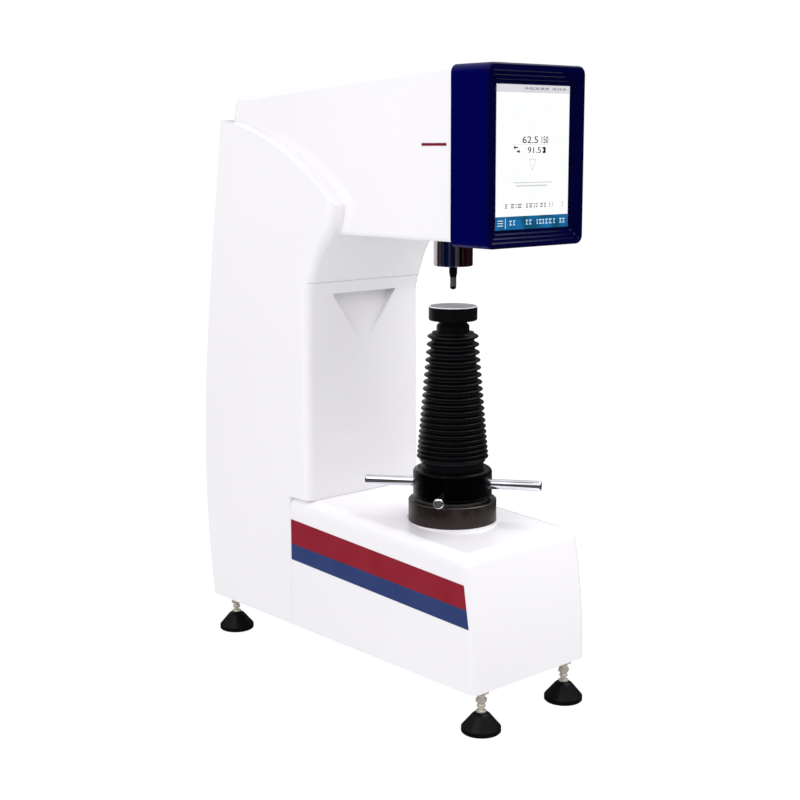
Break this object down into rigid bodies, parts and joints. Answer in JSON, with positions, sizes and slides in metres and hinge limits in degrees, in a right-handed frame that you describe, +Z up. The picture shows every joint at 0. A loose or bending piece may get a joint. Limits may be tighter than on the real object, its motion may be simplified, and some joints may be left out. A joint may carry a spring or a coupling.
{
  "type": "hardness tester",
  "caption": "Bench Rockwell-type hardness tester: C-shaped white body, capstan-raised anvil under bellows, motor-driven spindle, portrait touch display, levelling feet.",
  "frame": {"origin": "bottom centre of the overall box: on the bench, in the middle of the footprint", "axes": "+Z up, -Y towards the operator (the display faces -Y), +X to the operator's right"},
  "size_m": [0.1968, 0.5546, 0.7758],
  "materials": {
    "anvil_steel": "blackened side, ground face",
    "bare_aluminium": "milled",
    "black_cuff": "moulded black nylon",
    "black_nut": "blackened and oiled steel",
    "black_plastic": "moulded black nylon",
    "black_rubber": "moulded black rubber",
    "black_steel": "blackened steel",
    "blue_band": "gloss blue acrylic",
    "bronze": "reamed bronze",
    "cast_iron": "primed grey casting",
    "cell_steel": "turned stainless steel",
    "chrome_bar": "bright chrome",
    "chrome_sleeve": "bright chrome",
    "circuit_board": "solder-masked laminate",
    "ground_steel": "ground",
    "navy_plastic": "polished dark navy ABS",
    "pad_rubber": "moulded rubber",
    "panel_steel": "zinc-plated sheet",
    "plated_steel": "bright nickel plate",
    "red_band": "gloss red acrylic",
    "screen_face": "lit display",
    "screen_glass": "clear cover glass",
    "white_shell": "gloss white baked enamel"
  },
  "bodies": {
    "root": {"base_casing": "white_shell", "column_casing": "white_shell", "head_casing": "white_shell", "rear_cover": "white_shell", "cover_screws": "plated_steel", "red_stripes": "red_band", "blue_stripes": "blue_band", "head_marks": "red_band", "bezel": "navy_plastic", "touch_glass": "screen_glass", "lcd_module": "screen_face", "display_board": "circuit_board", "bed_frame": "cast_iron", "column_frame": "cast_iron", "head_arm": "cast_iron", "frame_bolts": "black_steel", "screw_guide": "black_steel", "guide_key": "ground_steel", "thrust_bearing": "ground_steel", "bellows": "black_rubber", "lower_cuff": "black_cuff", "nose_sleeve": "chrome_sleeve", "spindle_bush": "bronze", "guide_pillars": "ground_steel", "drive_plate": "bare_aluminium", "screw_bearing": "ground_steel", "drive_belt": "black_rubber", "drive_motor": "black_steel", "depth_encoder": "bare_aluminium", "lock_nuts": "plated_steel", "io_plate": "panel_steel", "power_inlet": "black_plastic", "data_port": "plated_steel", "switch_frame": "black_plastic", "power_supply": "panel_steel", "control_board": "circuit_board"},
    "capstan": {"capstan_nut": "black_nut", "capstan_bars": "chrome_bar"},
    "elevating_screw": {"lifting_screw": "ground_steel", "upper_cuff": "black_cuff", "anvil": "anvil_steel"},
    "ball_screw": {"lead_screw": "ground_steel", "screw_pulley": "bare_aluminium"},
    "motor_rotor": {"motor_shaft": "ground_steel", "motor_pulley": "bare_aluminium"},
    "spindle_carriage": {"spindle": "ground_steel", "indenter_chuck": "black_steel", "indenter": "ground_steel", "load_cell": "cell_steel", "crosshead": "cell_steel", "encoder_scale": "screen_glass"},
    "rocker": {"power_rocker": "black_plastic"},
    "pad_front_left": {"foot_pad_front_left": "pad_rubber"},
    "stud_front_left": {"foot_stud_front_left": "plated_steel"},
    "pad_front_right": {"foot_pad_front_right": "pad_rubber"},
    "stud_front_right": {"foot_stud_front_right": "plated_steel"},
    "pad_rear_left": {"foot_pad_rear_left": "pad_rubber"},
    "stud_rear_left": {"foot_stud_rear_left": "plated_steel"},
    "pad_rear_right": {"foot_pad_rear_right": "pad_rubber"},
    "stud_rear_right": {"foot_stud_rear_right": "plated_steel"}
  },
  "joints": [
    {"name": "screw_lift", "type": "slide", "parent": "root", "child": "elevating_screw", "axis": [0, 0, 1], "range_m": [-0.11, 0.015], "deforming": ["bellows"]},
    {"name": "capstan_turn", "type": "hinge", "parent": "root", "child": "capstan", "pos_m": [0, -0.1265, 0.2694], "axis": [0, 0, -1], "range_deg": [-7950, 1110]},
    {"name": "spindle_travel", "type": "slide", "parent": "root", "child": "spindle_carriage", "axis": [0, 0, 1], "range_m": [-0.004, 0]},
    {"name": "ball_screw_turn", "type": "hinge", "parent": "root", "child": "ball_screw", "pos_m": [0, -0.1265, 0.738], "axis": [0, 0, 1], "range_deg": [-2, 362]},
    {"name": "motor_turn", "type": "hinge", "parent": "root", "child": "motor_rotor", "pos_m": [0, -0.0225, 0.738], "axis": [0, 0, 1], "range_deg": [-4, 724]},
    {"name": "power_switch", "type": "hinge", "parent": "root", "child": "rocker", "pos_m": [0.034, 0.2615, 0.108], "axis": [1, 0, 0], "range_deg": [0, 16]},
    {"name": "foot_height_front_left", "type": "slide", "parent": "root", "child": "pad_front_left", "axis": [0, 0, -1], "range_m": [-0.006, 0.006]},
    {"name": "foot_turn_front_left", "type": "hinge", "parent": "pad_front_left", "child": "stud_front_left", "pos_m": [-0.073, -0.2525, 0.0246], "axis": [0, 0, 1], "range_deg": [-1446, 1446]},
    {"name": "foot_height_front_right", "type": "slide", "parent": "root", "child": "pad_front_right", "axis": [0, 0, -1], "range_m": [-0.006, 0.006]},
    {"name": "foot_turn_front_right", "type": "hinge", "parent": "pad_front_right", "child": "stud_front_right", "pos_m": [0.073, -0.2525, 0.0246], "axis": [0, 0, 1], "range_deg": [-1446, 1446]},
    {"name": "foot_height_rear_left", "type": "slide", "parent": "root", "child": "pad_rear_left", "axis": [0, 0, -1], "range_m": [-0.006, 0.006]},
    {"name": "foot_turn_rear_left", "type": "hinge", "parent": "pad_rear_left", "child": "stud_rear_left", "pos_m": [-0.073, 0.2455, 0.0246], "axis": [0, 0, 1], "range_deg": [-1446, 1446]},
    {"name": "foot_height_rear_right", "type": "slide", "parent": "root", "child": "pad_rear_right", "axis": [0, 0, -1], "range_m": [-0.006, 0.006]},
    {"name": "foot_turn_rear_right", "type": "hinge", "parent": "pad_rear_right", "child": "stud_rear_right", "pos_m": [0.073, 0.2455, 0.0246], "axis": [0, 0, 1], "range_deg": [-1446, 1446]}
  ],
  "couplings": [
    {"joint": "capstan_turn", "follows": "screw_lift", "rad_per_m": 1256.6},
    {"joint": "ball_screw_turn", "follows": "spindle_travel", "rad_per_m": -1570.8},
    {"joint": "motor_turn", "follows": "spindle_travel", "rad_per_m": -3141.6},
    {"joint": "foot_turn_front_left", "follows": "foot_height_front_left", "rad_per_m": 4188.8},
    {"joint": "foot_turn_front_right", "follows": "foot_height_front_right", "rad_per_m": 4188.8},
    {"joint": "foot_turn_rear_left", "follows": "foot_height_rear_left", "rad_per_m": 4188.8},
    {"joint": "foot_turn_rear_right", "follows": "foot_height_rear_right", "rad_per_m": 4188.8}
  ]
}
